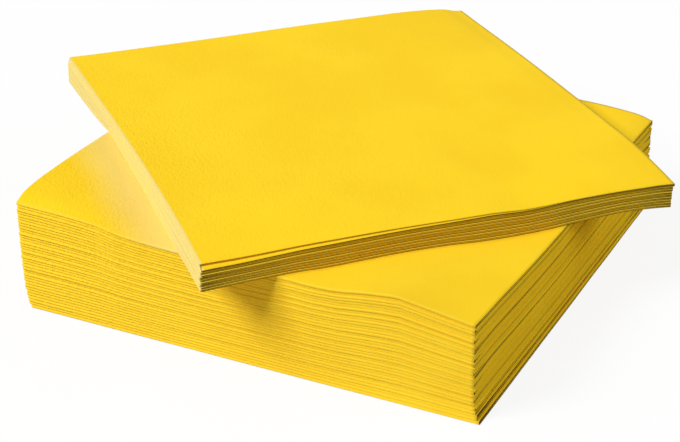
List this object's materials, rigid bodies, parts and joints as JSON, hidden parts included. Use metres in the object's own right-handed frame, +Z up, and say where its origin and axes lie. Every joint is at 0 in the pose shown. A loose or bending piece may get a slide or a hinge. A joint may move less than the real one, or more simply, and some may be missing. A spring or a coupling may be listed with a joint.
{
  "type": "stack of paper napkins",
  "caption": "Loose stack of yellow paper napkins: a square pile of folded tissue squares, with a thinner bundle laid across it, turned and overhanging.",
  "frame": {"origin": "middle of the pile's bottom face, on the surface it stands on", "axes": "+Z up; +X towards the pile's cut edges; -Y towards the pile's spine folds"},
  "size_m": [0.2824, 0.2823, 0.0626],
  "materials": {
    "tissue": "matte"
  },
  "bodies": {
    "root": {"pile_napkin_01": "tissue", "pile_napkin_02": "tissue", "pile_napkin_03": "tissue", "pile_napkin_04": "tissue", "pile_napkin_05": "tissue", "pile_napkin_06": "tissue", "pile_napkin_07": "tissue", "pile_napkin_08": "tissue", "pile_napkin_09": "tissue", "pile_napkin_10": "tissue", "pile_napkin_11": "tissue", "pile_napkin_12": "tissue", "pile_napkin_13": "tissue", "pile_napkin_14": "tissue", "pile_napkin_15": "tissue", "pile_napkin_16": "tissue", "pile_napkin_17": "tissue", "pile_napkin_18": "tissue", "pile_napkin_19": "tissue", "pile_napkin_20": "tissue", "pile_napkin_21": "tissue", "pile_napkin_22": "tissue", "pile_napkin_23": "tissue", "pile_napkin_24": "tissue", "pile_napkin_25": "tissue", "pile_napkin_26": "tissue", "pile_napkin_27": "tissue", "pile_napkin_28": "tissue", "pile_napkin_29": "tissue", "pile_napkin_30": "tissue", "pile_napkin_31": "tissue", "pile_napkin_32": "tissue", "pile_napkin_33": "tissue", "pile_napkin_34": "tissue", "pile_napkin_35": "tissue", "pile_napkin_36": "tissue", "bundle_napkin_01": "tissue", "bundle_napkin_02": "tissue", "bundle_napkin_03": "tissue", "bundle_napkin_04": "tissue", "bundle_napkin_05": "tissue", "bundle_napkin_06": "tissue", "bundle_napkin_07": "tissue", "bundle_napkin_08": "tissue", "bundle_napkin_09": "tissue"}
  },
  "joints": []
}
